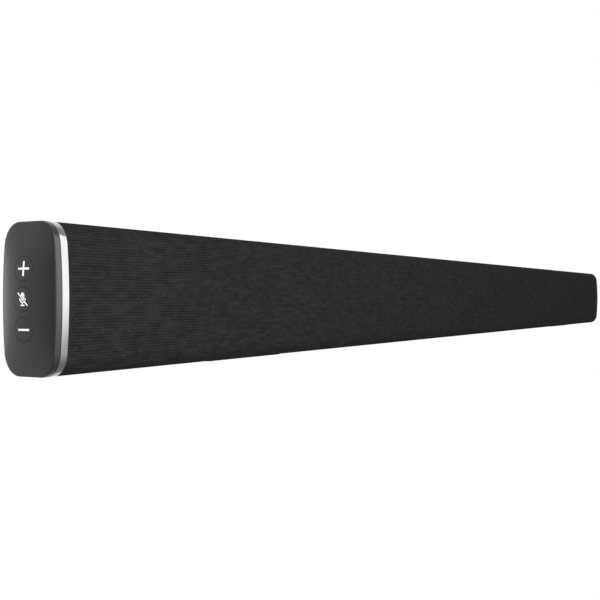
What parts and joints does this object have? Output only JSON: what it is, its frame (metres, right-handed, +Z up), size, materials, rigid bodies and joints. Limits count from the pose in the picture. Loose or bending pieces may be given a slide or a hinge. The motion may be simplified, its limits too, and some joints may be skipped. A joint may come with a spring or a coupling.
{
  "type": "soundbar",
  "caption": "Slim long soundbar with a fabric front, bright trim ring, and a domed end cap that carries volume and microphone-mute push buttons.",
  "frame": {"origin": "middle of the footprint, on the plane of the feet", "axes": "+X along the length, left to right as seen from the front; +Y to the back; +Z up"},
  "size_m": [1.214, 0.0373, 0.0785],
  "materials": {
    "grille_cloth": "ribbed woven grille cloth, near black",
    "charcoal_cap": "fine satin, charcoal",
    "black_plastic": "fine spark-eroded texture, black",
    "bright_trim": "polished",
    "foot_rubber": "matte",
    "steel": "plated",
    "brass": "turned",
    "cone": "coated fibre cone and silk dome",
    "circuit_board": "solder-masked laminate",
    "heat_spreader": "mill finish"
  },
  "bodies": {
    "case": {"baffle_gasket": "foot_rubber", "button_board": "circuit_board", "button_carrier": "black_plastic", "carrier_screw_1": "steel", "carrier_screw_2": "steel", "case_screw_1": "steel", "case_screw_2": "steel", "case_screw_3": "steel", "case_screw_4": "steel", "case_screw_5": "steel", "case_screw_6": "steel", "case_screw_7": "steel", "case_screw_8": "steel", "connector_bay": "black_plastic", "driver_1_basket": "black_plastic", "driver_1_magnet": "steel", "driver_2_basket": "black_plastic", "driver_2_magnet": "steel", "driver_3_basket": "black_plastic", "driver_3_magnet": "steel", "driver_4_basket": "black_plastic", "driver_4_magnet": "steel", "fabric_sleeve": "grille_cloth", "front_baffle": "black_plastic", "grille_frame": "black_plastic", "heat_spreader": "heat_spreader", "left_end_cap": "charcoal_cap", "left_foot": "foot_rubber", "left_trim_ring": "bright_trim", "main_board": "circuit_board", "mic_mute_switch": "steel", "microphone_board": "circuit_board", "mount_insert_1": "brass", "mount_insert_2": "brass", "mount_insert_3": "brass", "mount_insert_4": "brass", "power_inlet": "steel", "rear_housing_centre": "black_plastic", "rear_housing_left": "black_plastic", "rear_housing_right": "black_plastic", "right_end_cap": "black_plastic", "right_foot": "foot_rubber", "service_socket": "steel", "tweeter_1_body": "black_plastic", "tweeter_2_body": "black_plastic", "video_socket": "steel", "volume_down_switch": "steel", "volume_up_switch": "steel"},
    "volume_up": {"volume_up_button": "charcoal_cap", "volume_up_plunger": "black_plastic"},
    "mic_mute": {"mic_mute_button": "charcoal_cap", "mic_mute_plunger": "black_plastic"},
    "volume_down": {"volume_down_button": "charcoal_cap", "volume_down_plunger": "black_plastic"},
    "cone_1": {"driver_1_cone": "cone"},
    "cone_2": {"driver_2_cone": "cone"},
    "cone_3": {"driver_3_cone": "cone"},
    "cone_4": {"driver_4_cone": "cone"},
    "dome_1": {"tweeter_1_dome": "cone"},
    "dome_2": {"tweeter_2_dome": "cone"}
  },
  "joints": [
    {"name": "volume_up_press", "type": "slide", "parent": "case", "child": "volume_up", "axis": [1, 0, 0], "range_m": [0, 0.0006], "stiffness_N_per_m": 2500},
    {"name": "mic_mute_press", "type": "slide", "parent": "case", "child": "mic_mute", "axis": [1, 0, 0], "range_m": [0, 0.0006], "stiffness_N_per_m": 2500},
    {"name": "volume_down_press", "type": "slide", "parent": "case", "child": "volume_down", "axis": [1, 0, 0], "range_m": [0, 0.0006], "stiffness_N_per_m": 2500},
    {"name": "cone_1_stroke", "type": "slide", "parent": "case", "child": "cone_1", "axis": [0, 1, 0], "range_m": [-0.0012, 0.0012], "stiffness_N_per_m": 1800},
    {"name": "cone_2_stroke", "type": "slide", "parent": "case", "child": "cone_2", "axis": [0, 1, 0], "range_m": [-0.0012, 0.0012], "stiffness_N_per_m": 1800},
    {"name": "cone_3_stroke", "type": "slide", "parent": "case", "child": "cone_3", "axis": [0, 1, 0], "range_m": [-0.0012, 0.0012], "stiffness_N_per_m": 1800},
    {"name": "cone_4_stroke", "type": "slide", "parent": "case", "child": "cone_4", "axis": [0, 1, 0], "range_m": [-0.0012, 0.0012], "stiffness_N_per_m": 1800},
    {"name": "dome_1_stroke", "type": "slide", "parent": "case", "child": "dome_1", "axis": [0, 1, 0], "range_m": [-0.0003, 0.0003], "stiffness_N_per_m": 4000},
    {"name": "dome_2_stroke", "type": "slide", "parent": "case", "child": "dome_2", "axis": [0, 1, 0], "range_m": [-0.0003, 0.0003], "stiffness_N_per_m": 4000}
  ]
}
